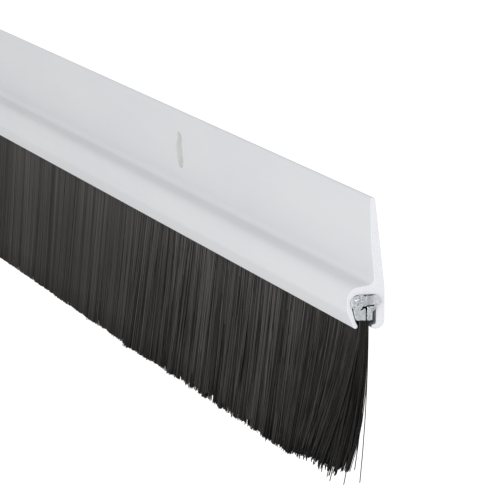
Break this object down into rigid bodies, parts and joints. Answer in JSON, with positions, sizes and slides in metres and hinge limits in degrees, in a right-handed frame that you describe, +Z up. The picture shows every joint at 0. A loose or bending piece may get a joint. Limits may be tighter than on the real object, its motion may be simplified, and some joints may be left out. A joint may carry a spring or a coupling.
{
  "type": "door sweep",
  "caption": "Screw-on brush door sweep: rigid white carrier with a slotted flange and a C channel holding a slide-in strip brush of black filaments.",
  "frame": {"origin": "middle of the flat band down the carrier's back, which stands against the door, at mid-length", "axes": "+X along the sweep, -Y out of the front, +Y into the door, +Z up"},
  "size_m": [0.9154, 0.0089, 0.0508],
  "materials": {
    "carrier": "satin white rigid PVC extrusion",
    "strip": "galvanised sheet",
    "core": "bright drawn wire",
    "filament": "black polypropylene filament"
  },
  "bodies": {
    "carrier": {"carrier": "carrier"},
    "brush": {"strip_channel": "strip", "core_wire": "core", "bristle_root": "filament"},
    "curtain": {"bristle_curtain": "filament"}
  },
  "joints": [
    {"name": "brush_slide", "type": "slide", "parent": "carrier", "child": "brush", "axis": [1, 0, 0], "range_m": [-0.92, 0.92]},
    {"name": "bristle_flex", "type": "hinge", "parent": "brush", "child": "curtain", "pos_m": [0, -0.00382, -0.00647], "axis": [1, 0, 0], "range_deg": [-45, 45], "stiffness_Nm_per_rad": 0.11}
  ]
}
